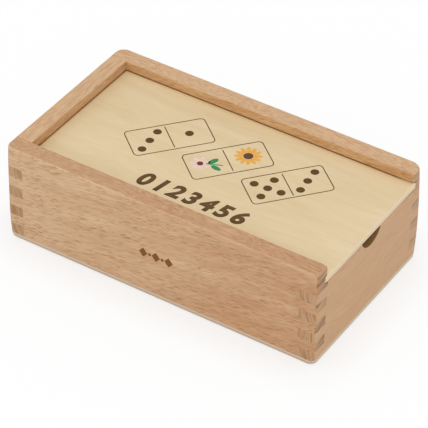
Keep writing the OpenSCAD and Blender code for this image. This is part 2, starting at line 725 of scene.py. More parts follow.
@dataclass(frozen=True)
class BeechFinish:
    """Sanded beech sawn from one board: pinkish tan with ray flecks, and darker on its sawn ends."""

    name: str
    # Turn that lays the tree's axes on the board, in degrees, and the way its grain runs
    turn: Point
    grain: Point
    # Where in the tree the board was, in millimetres
    origin: Point
    # Way that the board's inner face looks, and the tint of painted shade that it has there, as the inside
    # of the box lies in shade
    inward: Point
    inner: str = "#fffff2"
    # How the tone warms along the board, for each metre of X, Y and Z, and how lively it is
    drift: Point = (0.0, 0.0, 0.0)
    liveliness: float = 1.5
    pale: str = "#d8b48e"
    warm: str = "#c08e60"
    fleck: str = "#8e5404"
    # Tint of the rounded upper edges: partly paler sanded wood, partly a painted highlight where they catch
    # the light
    edge: str = "#e4c8a6"
    sawn: str = "#c29a74"
    sawn_streak: str = "#a6794f"
    # Bore whose cut surface is darkened by painted shade, as it lies in shade under the lid: its centre's Y
    # and Z, and its radius, or 0 for none
    bore: Point = (0.0, 0.0, 0.0)
    notch_shade: str = "#876030"
    notch_shade_share: float = 0.9
    # Tint of the face that looks up, which shows the grain from its other side
    top: str = "#d1aa81"
    # How much that tint shows there, and how much the fibre and the flecks do
    top_share: float = 0.75
    top_fibre: float = 0.7
    top_flecks: float = 0.35
    # How many of the places that could hold a fleck do, and how strongly the flecks show
    fleck_share: float = 0.45
    fleck_depth: float = 1.0
    # How much the rings, the fibre and the rounded edges, with their paler wood and painted highlight, show
    # elsewhere
    ring_share: float = 0.3
    fibre_share: float = 0.3
    edge_highlight_share: float = 0.17
    # How far apart the year rings are, and how far they wander, in millimetres
    ring_spacing: float = 3.2
    wander: float = 9.0
    # How rough the surface is, and how far that varies with the fibre
    roughness: float = 0.56
    roughness_span: float = 0.12
    # How much of the relief shows, how deep it is in millimetres, and the fibre's part in it
    relief: float = 0.35
    relief_depth: float = 0.04
    relief_fibre: float = 0.4

    def make(self, groups: Groups) -> bpy.types.Material:
        """Build the material.

        Args:
            groups: The shared node groups.

        Returns:
            The material.
        """
        material, sketch, shader = fresh_material(self.name)
        spot = sketch.add("TexCoord")
        here, normal = spot.outputs["Object"], spot.outputs["Normal"]
        turned = sketch.in_tree(here, self.origin, self.turn)
        figure = sketch.add("Group", {"Place": turned, "Ring Spacing": self.ring_spacing,
                                      "Wander": self.wander}, node_tree=groups.figure)
        place, tone, rings, fibre = (figure.outputs[k] for k in range(4))
        # The flecks lie straighter than the rings
        straighter = sketch.scaled(sketch.vector("ADD", turned, place), 0.5)
        flecks = sketch.add("Group", {"Place": straighter, "Share": self.fleck_share},
                            node_tree=groups.flecks)
        sawn = sketch.add("Group", {"Place": place, "Normal": normal, "Grain": self.grain},
                          node_tree=groups.end_grain)
        edge = sketch.add("Group", {"Normal": normal}, node_tree=groups.edge)
        share = sketch.drifting(tone, self.liveliness, here, self.drift)
        wood = sketch.blend(share, colour(self.pale), colour(self.warm))
        wood = sketch.blend(sketch.maths("MULTIPLY", rings, self.ring_share), wood, colour(self.warm))
        top = sketch.ramp(sketch.part(normal, 2), 0.7, 0.95)
        wood = sketch.blend(sketch.maths("MULTIPLY", top, self.top_share), wood, colour(self.top))
        lift = sketch.maths("MULTIPLY_ADD", top, self.top_fibre - self.fibre_share, self.fibre_share)
        wood = sketch.blend(lift, wood, sketch.grey(fibre), "SOFT_LIGHT")
        # Paler sanded wood and a painted highlight on the rounded upper edges
        wood = sketch.blend(sketch.maths("MULTIPLY", edge.outputs[0], self.edge_highlight_share), wood,
                            colour(self.edge))
        calm = sketch.maths("MULTIPLY_ADD", top, (self.top_flecks - 1.0) * self.fleck_depth,
                            self.fleck_depth)
        depth = sketch.maths("MULTIPLY", flecks.outputs[0], calm)
        wood = sketch.blend(depth, wood, colour(self.fleck))
        ends = sketch.blend(sawn.outputs["Streaks"], colour(self.sawn), colour(self.sawn_streak))
        wood = sketch.blend(sawn.outputs["Mask"], wood, ends)
        # Painted shade on the face that looks into the box
        inner_shade = sketch.ramp(sketch.vector("DOT_PRODUCT", normal, self.inward), 0.5, 0.95)
        wood = sketch.blend(inner_shade, wood, colour(self.inner), "MULTIPLY")
        y, z, radius = self.bore
        if radius > 0.0:
            offset = sketch.vector("SUBTRACT", here, (0.0, y * MM, z * MM))
            reach = sketch.vector("LENGTH", sketch.vector("MULTIPLY", offset, (0.0, 1.0, 1.0)))
            # The painted shade fades over the bore's eased edge
            cut = sketch.ramp(reach, (radius + 0.3) * MM, (radius + 0.05) * MM)
            wood = sketch.blend(sketch.maths("MULTIPLY", cut, self.notch_shade_share), wood,
                                colour(self.notch_shade))
        sketch.plug(shader.inputs["Base Color"], wood)
        rough = sketch.maths("MULTIPLY_ADD", fibre, self.roughness_span,
                             self.roughness - self.roughness_span / 2)
        sketch.plug(shader.inputs["Roughness"], rough)
        height = sketch.maths("SUBTRACT", sketch.maths("MULTIPLY", fibre, self.relief_fibre),
                              flecks.outputs[0])
        bump = sketch.add("Bump", {"Strength": self.relief, "Distance": self.relief_depth * MM,
                                   "Height": height})
        sketch.plug(shader.inputs["Normal"], bump.outputs[0])
        return material


@dataclass(frozen=True)
class PlyFinish:
    """Pale plywood: quiet long figure on its faces, and three plies on its edges."""

    name: str
    # Levels of the sheet's underside and top, in millimetres
    levels: tuple[float, float]
    face: str
    shade: str
    core: str
    sawn: str
    # Tint of the edges that run along the sheet: partly the end grain that the middle ply shows there,
    # partly painted shade, as they stand close above the floor
    long_edge_grain_and_shade: str = "#ffffff"
    # How far out the sheet's top lies open, to the sides and to the closed end, and how wide a band of
    # painted light is there; beyond it the grooves' lips shade the wood, and painted shade darkens it,
    # fading out towards the outer end
    open_w: float = 0.0
    open_l: float = 0.0
    painted_light_w: float = 9.0
    groove_shade_end: float = 0.0
    groove_shade_fade: float = 8.0
    painted_light_band: str = "#f0d8ac"
    groove_shade: str = "#b2762f"
    # The middle ply lies between these shares of the thickness, and blurs into the others by this one
    core_share: tuple[float, float] = (0.3, 0.7)
    core_blur: float = 0.04
    # How the tone darkens along the sheet, for each metre of X, Y and Z, and how lively it is
    drift: Point = (0.0, 0.0, 0.0)
    liveliness: float = 3.4
    # How much the tone, the broad clouds and the streaks add to the mottle
    mottle_mix: Point = (0.35, 0.45, 0.2)
    # How much the fibre, the middle ply, the band of painted light and the painted shade of the margin show
    fibre_share: float = 0.08
    core_show: float = 0.8
    painted_light_show: float = 0.8
    groove_shade_show: float = 0.85
    # How rough the surface is, and how far that varies with the fibre
    roughness: float = 0.5
    roughness_span: float = 0.1
    # How much of the relief shows, and how deep it is in millimetres
    relief: float = 0.25
    relief_depth: float = 0.02

    def paint_groove_light_and_shade(self, sketch: Sketch, here: object, upward: object, wood: object) -> bpy.types.NodeSocket:
        """Add painted light in a band round the open top, where the walls shade it, and painted shade on
        the margin under the grooves' lips.

        Args:
            sketch: The material's sketch.
            here: The place on the sheet in metres.
            upward: How far the surface looks up.
            wood: The wood's colour so far.

        Returns:
            The colour with its wear.
        """
        beside = sketch.maths("SUBTRACT", sketch.maths("ABSOLUTE", sketch.part(here, 1)), self.open_w * MM)
        behind = sketch.maths("SUBTRACT", -self.open_l * MM, sketch.part(here, 0))
        # The band is half as wide at the closed end
        nearer = sketch.maths("SUBTRACT", behind, 0.5 * self.painted_light_w * MM)
        # Painted light in a band along the walls, which lightens the shade that they cast on the top
        painted_light_band = sketch.ramp(sketch.maths("MAXIMUM", beside, nearer), -self.painted_light_w * MM, 0.0)
        wood = sketch.blend(sketch.maths("MULTIPLY", painted_light_band, self.painted_light_show), wood, colour(self.painted_light_band))
        # Painted shade on the margin that lies under the grooves' lips
        outside = sketch.ramp(sketch.maths("MAXIMUM", beside, behind), 0.0, 0.5 * MM)
        covered = sketch.ramp(sketch.part(here, 0), self.groove_shade_end * MM, (self.groove_shade_end - self.groove_shade_fade) * MM)
        groove_shade_mask = sketch.maths("MULTIPLY", sketch.maths("MULTIPLY", outside, covered),
                           sketch.ramp(upward, 0.5, 0.9))
        return sketch.blend(sketch.maths("MULTIPLY", groove_shade_mask, self.groove_shade_show), wood, colour(self.groove_shade))

    def make(self, groups: Groups) -> bpy.types.Material:
        """Build the material.

        Args:
            groups: The shared node groups.

        Returns:
            The material.
        """
        material, sketch, shader = fresh_material(self.name)
        spot = sketch.add("TexCoord")
        here, normal = spot.outputs["Object"], spot.outputs["Normal"]
        figure = sketch.add("Group", {"Place": sketch.in_tree(here),
                                      "Ring Spacing": PLY_RING_SPACING, "Wander": PLY_WANDER},
                            node_tree=groups.figure)
        place, tone, fibre = figure.outputs["Place"], figure.outputs["Tone"], figure.outputs["Fibre"]
        broad = sketch.noise(place, (70.0, 17.0, 40.0), 2.0, (1.0, 5.0, 9.0))
        streaks = sketch.noise(place, (30.0, 1.7, 1.7), 1.0, (4.0, 2.0, 6.0))
        tone_share, broad_share, streak_share = self.mottle_mix
        mottle = sketch.maths("ADD", sketch.maths("MULTIPLY", tone, tone_share),
                              sketch.maths("MULTIPLY", broad, broad_share))
        mottle = sketch.maths("MULTIPLY_ADD", streaks, streak_share, mottle)
        tint = sketch.drifting(mottle, self.liveliness, here, self.drift)
        wood = sketch.blend(tint, colour(self.face), colour(self.shade))
        wood = sketch.blend(self.fibre_share, wood, sketch.grey(fibre), "SOFT_LIGHT")
        upward = sketch.part(normal, 2)
        sideways = sketch.ramp(sketch.maths("ABSOLUTE", upward), 0.8, 0.4)
        wood = sketch.blend(sideways, wood, colour(self.sawn))
        low, high = self.levels
        share = sketch.add("MapRange", {"Value": sketch.part(here, 2), "From Min": low * MM,
                                        "From Max": high * MM}).outputs[0]
        first, last = self.core_share
        inside = sketch.maths("MULTIPLY", sketch.ramp(share, first - self.core_blur, first),
                              sketch.ramp(share, last + self.core_blur, last))
        wood = sketch.blend(sketch.maths("MULTIPLY", inside, self.core_show), wood, colour(self.core))
        # The middle ply's end grain and painted shade on the edges that run along the sheet
        across = sketch.ramp(sketch.maths("ABSOLUTE", sketch.part(normal, 1)), 0.4, 0.8)
        wood = sketch.blend(across, wood, colour(self.long_edge_grain_and_shade), "MULTIPLY")
        if self.open_w > 0.0:
            wood = self.paint_groove_light_and_shade(sketch, here, upward, wood)
        sketch.plug(shader.inputs["Base Color"], wood)
        rough = sketch.maths("MULTIPLY_ADD", fibre, self.roughness_span,
                             self.roughness - self.roughness_span / 2)
        sketch.plug(shader.inputs["Roughness"], rough)
        bump = sketch.add("Bump", {"Strength": self.relief, "Distance": self.relief_depth * MM,
                                   "Height": fibre})
        sketch.plug(shader.inputs["Normal"], bump.outputs[0])
        return material


@dataclass(frozen=True)
class InkFinish:
    """A thin coat of printed ink, which lets the fibre of the wood under it show a little."""

    name: str
    dark: str
    light: str
    roughness: float = 0.5
    # The sheen is faint
    specular: float = 0.12

    def make(self, groups: Groups) -> bpy.types.Material:
        """Build the material.

        Args:
            groups: The shared node groups.

        Returns:
            The material.
        """
        material, sketch, shader = fresh_material(self.name)
        spot = sketch.add("TexCoord")
        figure = sketch.add("Group", {"Place": sketch.in_tree(spot.outputs["Object"]),
                                      "Ring Spacing": PLY_RING_SPACING, "Wander": PLY_WANDER},
                            node_tree=groups.figure)
        coat = sketch.ramp(figure.outputs["Fibre"], 0.3, 0.8)
        sketch.plug(shader.inputs["Base Color"], sketch.blend(coat, colour(self.dark), colour(self.light)))
        shader.inputs["Specular IOR Level"].default_value = self.specular
        rough = sketch.maths("MULTIPLY_ADD", figure.outputs["Fibre"], 0.15, self.roughness - 0.07)
        sketch.plug(shader.inputs["Roughness"], rough)
        return material


# --------------------------------------------------------------------------------------- the case


@dataclass(frozen=True)
class Sanding:
    """How round an upright corner is sanded: at half height, and more so at the foot and the rim."""

    middle: float
    foot: float
    rim: float
    # How far up from the foot and down from the rim the rounder stretches go
    foot_reach: float
    rim_reach: float = 12.0

    def radius(self, level: float, height: float) -> float:
        """Find the corner's radius at a level.

        Args:
            level: The height above the table.
            height: The height of the rim.

        Returns:
            The radius.
        """
        low = max(0.0, 1.0 - level / self.foot_reach) ** 2.5
        high = max(0.0, 1.0 - (height - level) / self.rim_reach) ** 2
        return self.middle + (self.foot - self.middle) * low + (self.rim - self.middle) * high


@dataclass
class Case:
    """The open box: two long walls, a closed end, a lowered end at the mouth and the sheet below."""

    groups: Groups
    # Height of one finger of a corner joint
    finger_h: float = 6.0
    # Depth of the groove, and the lid's running clearance in it
    groove_d: float = 2.5
    lid_gap: float = 0.25
    # Gap that shows above the lid, up to the groove's top
    lid_clear: float = 0.9
    # The upright corners: the one at the front of the mouth is crisp, the two at the back are round on top
    corners: dict[tuple[End, Side], Sanding] = field(default_factory=lambda: {
        (End.CLOSED, Side.FRONT): Sanding(2.8, 5.0, 4.0, 22.0, 16.0),
        (End.CLOSED, Side.BACK): Sanding(2.8, 5.0, 5.2, 22.0, 24.0),
        (End.MOUTH, Side.FRONT): Sanding(1.3, 4.5, 1.7, 10.0),
        (End.MOUTH, Side.BACK): Sanding(2.8, 5.0, 6.4, 22.0, 36.0)})
    corner_steps: int = 8
    foot_r: float = 1.6
    rim_r: float = 1.0
    # Levels below the rim that are scribed on the long walls, where their corners grow rounder
    rim_marks: Point = (10.0, 6.0, 3.0)
    # Easing of the rim's inner edges, of the wall ends at the mouth, and of glued joints
    inner_ease: float = 0.6
    mouth_ease: float = 1.5
    seam_ease: float = 0.09
    # How far below the groove's top the easing of the wall ends starts
    mouth_ease_drop: float = 5.0
    # Ornament pressed into the front wall: its middle's X and Z, the step and the half sizes of its
    # lozenges, the radius of its dots, and its depth
    ornament_at: tuple[float, float] = (-0.6, 26.5)
    ornament_step: float = 7.4
    lozenge: tuple[float, float] = (2.5, 2.9)
    dot_r: float = 0.9
    burn_depth: float = 0.15
    # Thumb notch: its radius, how far its centre is above the wall, and the easing of its edges
    notch_r: float = 9.5
    notch_rise: float = 3.5
    notch_ease: float = 0.3
    # How much the lowered end is planed away at its back corner, where the gap under the lid widens
    worn: float = 0.6

    def __post_init__(self) -> None:
        """Take the driving sizes from the frame."""
        wall_low, wall_high = (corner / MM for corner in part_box("front_wall"))
        lid_low, lid_high = (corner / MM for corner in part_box("lid"))
        self.half_l = wall_high.x
        self.half_w = -wall_low.y
        self.height = wall_high.z
        self.base_t = wall_low.z
        self.wall_t = wall_high.y - wall_low.y
        self.room_l = self.half_l - self.wall_t
        self.room_w = self.half_w - self.wall_t
        self.groove_low = lid_low.z - self.lid_gap
        self.groove_high = lid_high.z + self.lid_clear
        self.groove_l = self.room_l + self.groove_d
        self.groove_w = self.room_w + self.groove_d
        count = int((self.groove_low - self.base_t) / self.finger_h)
        self.levels = [self.base_t + k * self.finger_h for k in range(1, count + 1)]

    def sand_corners(self, piece: Workpiece, ends: Sequence[End], sides: Sequence[Side]) -> None:
        """Round the upright outer corners of a piece, by the radius that each level has.

        Args:
            piece: The piece.
            ends: The ends at which it has outer corners.
            sides: The sides at which it has outer corners.
        """
        for end, side in ((end, side) for end in ends for side in sides):
            x, y = end.value * self.half_l, side.value * self.half_w
            shape = self.corners[end, side]
            piece.round_over(lambda a: a.lies_on(0, x) and a.lies_on(1, y), shape.middle,
                             self.corner_steps)
            reach = shape.middle + CLOSE
            for level in sorted({round(vert.co.z / MM, 3) for vert in piece.obj.data.vertices}):
                factor = shape.radius(level, self.height) / shape.middle
                if factor > 1.001:
                    piece.swell(lambda p: abs(p.z - level) < CLOSE and abs(p.x - x) < reach
                                and abs(p.y - y) < reach, (x, y, level), factor)

    def is_slot_level(self, level: float) -> bool:
        """Whether a level lies in one of the end walls' fingers, and not in a long wall's."""
        step = int((level - self.base_t) // self.finger_h)
        return step % 2 == 0 and step < len(self.levels)

    def ease_joints(self, wall: Workpiece, axis: int) -> None:
        """Take the sharpness off a wall's corner joints, which leaves a hairline at each seam.

        Args:
            wall: The wall.
            axis: The axis along which its fingers point: 0 for X or 1 for Y.
        """
        start = (self.room_l, self.room_w)[axis] - CLOSE
        wall.round_over(lambda a: a.sharp and abs(a.middle[axis]) > start
                        and a.middle.z < self.levels[-1] + CLOSE, self.seam_ease, 1)

    def make_long_wall(self, side: Side) -> Workpiece:
        """Shape a long wall from a plank: fingers, rounded corners, rim and groove.

        Args:
            side: The side that it stands on.

        Returns:
            The wall.
        """
        name = "front_wall_board" if side is Side.FRONT else "back_wall_board"
        inner, outer = side.value * self.room_w, side.value * self.half_w
        wall = Workpiece.block(name, (-self.room_l, min(inner, outer), self.base_t),
                               (self.room_l, max(inner, outer), self.height))
        wall.mark(self.levels + [self.height - drop for drop in self.rim_marks])
        for end in End:
            wall.pull_faces(lambda middle, normal: normal.x * end.value > 0.9
                            and not self.is_slot_level(middle.z), (end.value * self.wall_t, 0.0, 0.0))
        self.sand_corners(wall, list(End), [side])
        wall.round_over(lambda a: a.lies_on(0, self.half_l) and a.lies_on(1, inner)
                        and a.middle.z > self.groove_high - self.mouth_ease_drop, self.mouth_ease, 4)
        wall.round_over(lambda a: a.sharp and a.lies_on(2, self.height)
                        and abs(a.middle.y) > self.room_w + CLOSE and a.middle.x < self.half_l + CLOSE,
                        self.rim_r, 4)
        over = self.wall_t
        low, high = sorted((side.value * self.groove_w, side.value * (self.room_w - over)))
        wall.carve(Workpiece.block("router", (-self.groove_l, low, self.groove_low),
                                   (self.half_l + over, high, self.groove_high)))
        wall.round_over(lambda a: a.sharp and a.lies_on(2, self.height) and a.lies_on(1, inner)
                        and a.middle.x > -self.room_l, self.inner_ease, 3)
        self.ease_joints(wall, 0)
        wall.face_out()
        wall.smooth()
        return wall

    def make_end_wall(self, end: End, top: float) -> Workpiece:
        """Shape an end wall from a plank: its fingers and rounded corners.

        Args:
            end: The end that it closes.
            top: The level of its upper edge.

        Returns:
            The wall, square along its top.
        """
        name = "closed_end_board" if end is End.CLOSED else "mouth_end_board"
        near, far = sorted((end.value * self.room_l, end.value * self.half_l))
        wall = Workpiece.block(name, (near, -self.room_w, self.base_t), (far, self.room_w, top))
        wall.mark(self.levels)
        for side in Side:
            wall.pull_faces(lambda middle, normal: normal.y * side.value > 0.9
                            and self.is_slot_level(middle.z), (0.0, side.value * self.wall_t, 0.0))
        self.sand_corners(wall, [end], list(Side))
        return wall

    def make_closed_end(self) -> Workpiece:
        """Shape the closed end wall, with the groove that takes the lid's inner end.

        Returns:
            The wall.
        """
        wall = self.make_end_wall(End.CLOSED, self.height)
        over = self.wall_t
        wall.round_over(lambda a: a.lies_on(2, self.height) and a.lies_on(0, -self.half_l), self.rim_r, 4)
        wall.carve(Workpiece.block("router", (-self.groove_l, -self.half_w - over, self.groove_low),
                                   (-self.room_l + over, self.half_w + over, self.groove_high)))
        wall.round_over(lambda a: a.lies_on(2, self.height) and a.lies_on(0, -self.room_l),
                        self.inner_ease, 3)
        self.ease_joints(wall, 1)
        wall.face_out()
        wall.smooth()
        return wall

    def make_mouth_end(self) -> Workpiece:
        """Shape the lowered end wall that the lid leaves over, with its thumb notch.

        Returns:
            The wall.
        """
        wall = self.make_end_wall(End.MOUTH, self.groove_low)
        middle = (self.room_l + self.half_l) / 2
        wall.carve(Workpiece.rod("notch_bit", (middle, 0.0, self.groove_low + self.notch_rise),
                                 self.notch_r, 2 * self.wall_t))
        wall.nudge(lambda p: p.z > self.groove_low - CLOSE and p.y > self.room_w - CLOSE,
                   (0.0, 0.0, -self.worn))
        wall.round_over(lambda a: a.sharp and abs(a.middle.y) < self.room_w - CLOSE
                        and a.middle.z > self.groove_low - self.notch_r
                        and (a.lies_on(0, self.half_l) or a.lies_on(0, self.room_l)),
                        self.notch_ease, 2)
        self.ease_joints(wall, 1)
        wall.face_out()
        wall.smooth()
        return wall

    def make_bottom(self) -> Workpiece:
        """Shape the sheet glued under the walls, with its rounded foot.

        Returns:
            The sheet.
        """
        sheet = Workpiece.block("bottom_sheet", (-self.half_l, -self.half_w, 0.0),
                                (self.half_l, self.half_w, self.base_t))
        self.sand_corners(sheet, list(End), list(Side))
        sheet.round_over(lambda a: a.sharp and a.lies_on(2, 0.0), self.foot_r, 5)
        sheet.round_over(lambda a: a.sharp and a.lies_on(2, self.base_t), self.seam_ease, 1)
        sheet.smooth()
        return sheet

    def burn_ornament(self, wall: Workpiece) -> Workpiece:
        """Press a small row of lozenges and dots into the front wall, and scorch its bottom.

        Args:
            wall: The front wall.

        Returns:
            The scorched skin at the bottom of the marks.
        """
        x, z = self.ornament_at
        step, depth = self.ornament_step, self.burn_depth
        # The skin is this thick, and reaches this far into the wood under its pocket
        skin_t, sunk = 0.5 * depth, 0.1 * depth
        marks = [(x + k * step, 4, self.lozenge) for k in (-1, 0, 1)]
        marks += [(x + k * step, 24, (self.dot_r, self.dot_r)) for k in (-0.5, 0.5)]
        skins = []
        for place, corners, radii in marks:
            pocket = Workpiece.disc("pocket", (place, -self.half_w - depth, z), radii,
                                    corners=corners, upright=True)
            skin = pocket.copy("scorched_ornament")
            pocket.thicken((0.0, 2 * depth, 0.0))
            wall.carve(pocket)
            skin.shift((0.0, 2 * depth + sunk - skin_t, 0.0))
            skin.thicken((0.0, skin_t, 0.0))
            skins.append(skin)
        skins[0].join(skins[1:])
        wall.face_out()
        wall.smooth()
        return skins[0]

    def build(self) -> None:
        """Make every piece of the case and give each its board."""
        beech = "beech"
        long_turn = (80.0, 0.0, 8.0)
        along_x, along_y = (1.0, 0.0, 0.0), (0.0, 1.0, 0.0)
        front = self.make_long_wall(Side.FRONT)
        ornament = self.burn_ornament(front)
        front.dress(BeechFinish("beech_front", long_turn, along_x, (310.0, 44.0, 12.0),
                                inward=(0.0, 1.0, 0.0), drift=(4.5, 0.0, -5.0), pale="#dbb791",
                                warm="#c49368", top="#ba8b62", sawn="#c49a70",
                                sawn_streak="#8e633c").make(self.groups),
                    "case", beech, "front_wall")
        ornament.dress(InkFinish("scorched_wood", "#7c4f2a", "#8f6036", 0.7).make(self.groups),
                       "case", beech)
        self.make_long_wall(Side.BACK).dress(
            BeechFinish("beech_back", long_turn, along_x, (900.0, 10.0, 75.0),
                        inward=(0.0, -1.0, 0.0), sawn="#c4a17f", sawn_streak="#ac8765").make(self.groups),
            "case", beech, "back_wall")
        end_turn = (0.0, 12.0, -90.0)
        self.make_closed_end().dress(
            BeechFinish("beech_closed_end", end_turn, along_y, (40.0, 500.0, 33.0),
                        inward=(1.0, 0.0, 0.0), inner="#fffffa").make(self.groups),
            "case", beech, "closed_end_wall")
        # The thumb notch lies under the lid, and its surface gets painted shade
        notch = (0.0, self.groove_low + self.notch_rise, self.notch_r)
        self.make_mouth_end().dress(
            BeechFinish("beech_mouth_end", end_turn, along_y, (640.0, 200.0, 90.0), liveliness=0.9,
                        inward=(-1.0, 0.0, 0.0), bore=notch, pale="#d9b186", warm="#cc9f76",
                        fleck_share=0.3, fleck_depth=0.3).make(self.groups),
            "case", beech, "mouth_end_wall")
        self.make_bottom().dress(
            PlyFinish("bottom_ply", (0.0, self.base_t), face="#e4d6bf", shade="#dcc9ad",
                      core="#c9af91", sawn="#dfd0b8", long_edge_grain_and_shade="#f5f0f1").make(self.groups),
            "case", "base_plywood", "bottom_panel")


# ---------------------------------------------------------------------------------------- the lid


@dataclass(frozen=True)
class Bloom:
    """A printed flower seen from above: a ring of petals round an eye."""

    name: str
    # Its middle, along the domino and across it
    along: float
    across: float
    # How many petals it has, how far out their middles are, and half their length and width
    count: int
    distance: float
    radii: tuple[float, float]
    eye_r: float
    # Dark and light shade of the petals' ink and of the eye's
    ink: tuple[str, str]
    eye_ink: tuple[str, str]


@dataclass(frozen=True)
class Sprig:
    """A printed leaf or stalk."""

    # Its middle, along the domino and across it
    along: float
    across: float
    # Half the length and half the width of a leaf, or the whole ones of a stalk
    size: tuple[float, float]
    # Its turn from the domino's length, in radians
    turn: float


@dataclass
class Lid:
    """The sliding lid: a plywood sheet with a rounded outer end and the print on its top."""

    groups: Groups
    nose_r: float = 0.8
    ease: float = 0.25
    # Radius of the two outer corners
    corner_r: float = 0.7
    # The grooves' lips shade the top beyond this half width, and nearer to the closed end than this, where
    # shade is painted
    open_w: float = 41.2
    open_l: float = 79.9
    # How far from the outer end the painted shade stops
    groove_shade_short: float = 3.0
    # Thickness of the ink above the wood, and how far its coat reaches into it
    ink_t: float = 0.04
    ink_sink: float = 0.02
    # Printed dominoes: size, slant from the lid's length, corner radius, line width
    domino_l: float = 42.7
    domino_w: float = 21.0
    domino_turn: float = 50.0
    domino_corner_r: float = 2.5
    line_w: float = 0.51
    divider_l: float = 17.6
    pip_r: float = 2.2
    # Step of a slanting row of pips, and of the four pips round the middle one of a five
    pip_step: float = 5.7
    five_step: float = 5.2
    centres: tuple[tuple[float, float], ...] = ((-30.7, 6.8), (3.75, 6.9), (38.45, 6.85))
    # Row of numbers: where it starts, its type's height, spacing, boldness and slant, and the steps of
    # a curve
    numbers_from: tuple[float, float] = (-25.75, -32.8)
    type_size: float = 13.6
    type_spacing: float = 1.33
    type_weight: float = 0.6
    type_slant: float = 0.2
    type_steps: int = 6
    # Blooms printed on the middle domino, and the leaves and the stalk of the first one
    blooms: tuple[Bloom, ...] = (
        Bloom("daisy", -14.0, -1.4, 7, 3.4, (2.0, 1.35), 1.6, ("#e2c6b4", "#ecd6c6"),
              ("#6c3226", "#7a3c2e")),
        Bloom("sunflower", 10.8, -0.4, 12, 4.8, (2.4, 1.1), 2.5, ("#e2a347", "#f0ba5c"),
              ("#5a3f2a", "#6b4c33")))
    leaves: tuple[Sprig, ...] = (Sprig(-7.2, -1.2, (3.1, 1.5), 0.35), Sprig(-7.6, 4.3, (2.9, 1.4), -1.0))
    stalk: Sprig = Sprig(-7.4, 1.5, (8.4, 0.7), -0.45)

    def __post_init__(self) -> None:
        """Take the driving sizes from the frame."""
        self.low, self.high = (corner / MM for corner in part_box("lid"))
        self.turn = math.radians(self.domino_turn)
        # How far the middle of a domino's half is from the domino's own middle
        self.half = self.domino_l / 4 - 0.3

    def at(self, domino: int, along: float, across: float) -> Point:
        """Find a place on a printed domino.

        Args:
            domino: Which one, from 0 at the closed end.
            along: How far along its length from its middle.
            across: How far across it, towards the front.

        Returns:
            The place on the lid.
        """
        x, y = self.centres[domino]
        c, s = math.cos(self.turn), math.sin(self.turn)
        return (x + along * c + across * s, y + along * s - across * c, self.high.z - self.ink_sink)

    def make_sheet(self) -> Workpiece:
        """Shape the lid's sheet.

        Returns:
            The sheet.
        """
        sheet = Workpiece.block("lid_sheet", tuple(self.low), tuple(self.high))
        sheet.round_over(lambda a: a.lies_on(0, self.high.x) and abs(a.start.z - a.end.z) > 1.0,
                         self.corner_r, 6)
        sheet.round_over(lambda a: a.sharp and a.lies_on(2, self.high.z)
                         and a.middle.x > self.high.x - self.corner_r, self.nose_r, 8)
        sheet.round_over(lambda a: a.sharp, self.ease, 2)
        sheet.smooth()
        return sheet

    def raise_ink(self, piece: Workpiece) -> Workpiece:
        """Give a flat print its coat of ink, and return it."""
        piece.thicken((0.0, 0.0, self.ink_t + self.ink_sink))
        return piece

    def make_outline(self, domino: int) -> Workpiece:
        """Print a domino's rounded outline and the line across its middle.

        Args:
            domino: Which one, from 0 at the closed end.

        Returns:
            The print.
        """
        outline = Workpiece.panel(f"outline_{domino + 1}", self.at(domino, 0.0, 0.0),
                                  (self.domino_l, self.domino_w), self.turn)
        with outline.editing("VERT"):
            bpy.ops.mesh.select_all(action="SELECT")
            bpy.ops.mesh.bevel(offset=self.domino_corner_r * MM, segments=8, affect="VERTICES")
        with outline.editing("FACE"):
            bpy.ops.mesh.select_all(action="SELECT")
            bpy.ops.mesh.inset(thickness=self.line_w * MM)
            bpy.ops.mesh.delete(type="FACE")
        divider = Workpiece.panel("divider", self.at(domino, 0.0, 0.0),
                                  (self.line_w, self.divider_l), self.turn)
        self.raise_ink(outline)
        self.raise_ink(divider)
        outline.join([divider])
        return outline

    def make_pips(self, domino: int, spots: Sequence[tuple[float, float]]) -> Workpiece:
        """Print a domino's pips.

        Args:
            domino: Which one, from 0 at the closed end.
            spots: Where they are, along and across it.

        Returns:
            The print.
        """
        first = self.at(domino, *spots[0])
        pips = Workpiece.disc(f"pips_{domino + 1}", first, (self.pip_r, self.pip_r))
        self.raise_ink(pips)
        others = []
        for spot in spots[1:]:
            pip = pips.copy("pip")
            pip.shift(tuple(Vector(self.at(domino, *spot)) - Vector(first)))
            others.append(pip)
        pips.join(others)
        return pips

    def make_petals(self, bloom: Bloom, middle: Point) -> Workpiece:
        """Print a bloom's ring of petals.

        Args:
            bloom: The bloom.
            middle: Its middle.

        Returns:
            The print.
        """
        x, y, z = middle
        first = Workpiece.disc(f"{bloom.name}_petals", (x + bloom.distance, y, z), bloom.radii, corners=20)
        self.raise_ink(first)
        others = []
        for k in range(1, bloom.count):
            petal = first.copy("petal")
            petal.spin(middle, math.tau * k / bloom.count)
            others.append(petal)
        first.join(others)
        return first

    def make_eye(self, bloom: Bloom, middle: Point) -> Workpiece:
        """Print the round eye of a bloom, a second coat over the inner ends of its petals.

        Args:
            bloom: The bloom.
            middle: Its middle.

        Returns:
            The print.
        """
        eye = Workpiece.disc(f"{bloom.name}_eye", middle, (bloom.eye_r, bloom.eye_r))
        eye.thicken((0.0, 0.0, self.ink_t + 2 * self.ink_sink))
        return eye

    def make_leaves(self, domino: int) -> Workpiece:
        """Print the stalk and the leaves beside the first bloom.

        Args:
            domino: Which domino they are on, from 0 at the closed end.

        Returns:
            The print.
        """
        pieces = []
        for leaf in self.leaves:
            pieces.append(Workpiece.disc("leaves", self.at(domino, leaf.along, leaf.across), leaf.size,
                                         self.turn + leaf.turn, 20))
        stalk = self.stalk
        pieces.append(Workpiece.panel("stalk", self.at(domino, stalk.along, stalk.across), stalk.size,
                                      self.turn + stalk.turn))
        for piece in pieces:
            self.raise_ink(piece)
        pieces[0].join(pieces[1:])
        return pieces[0]

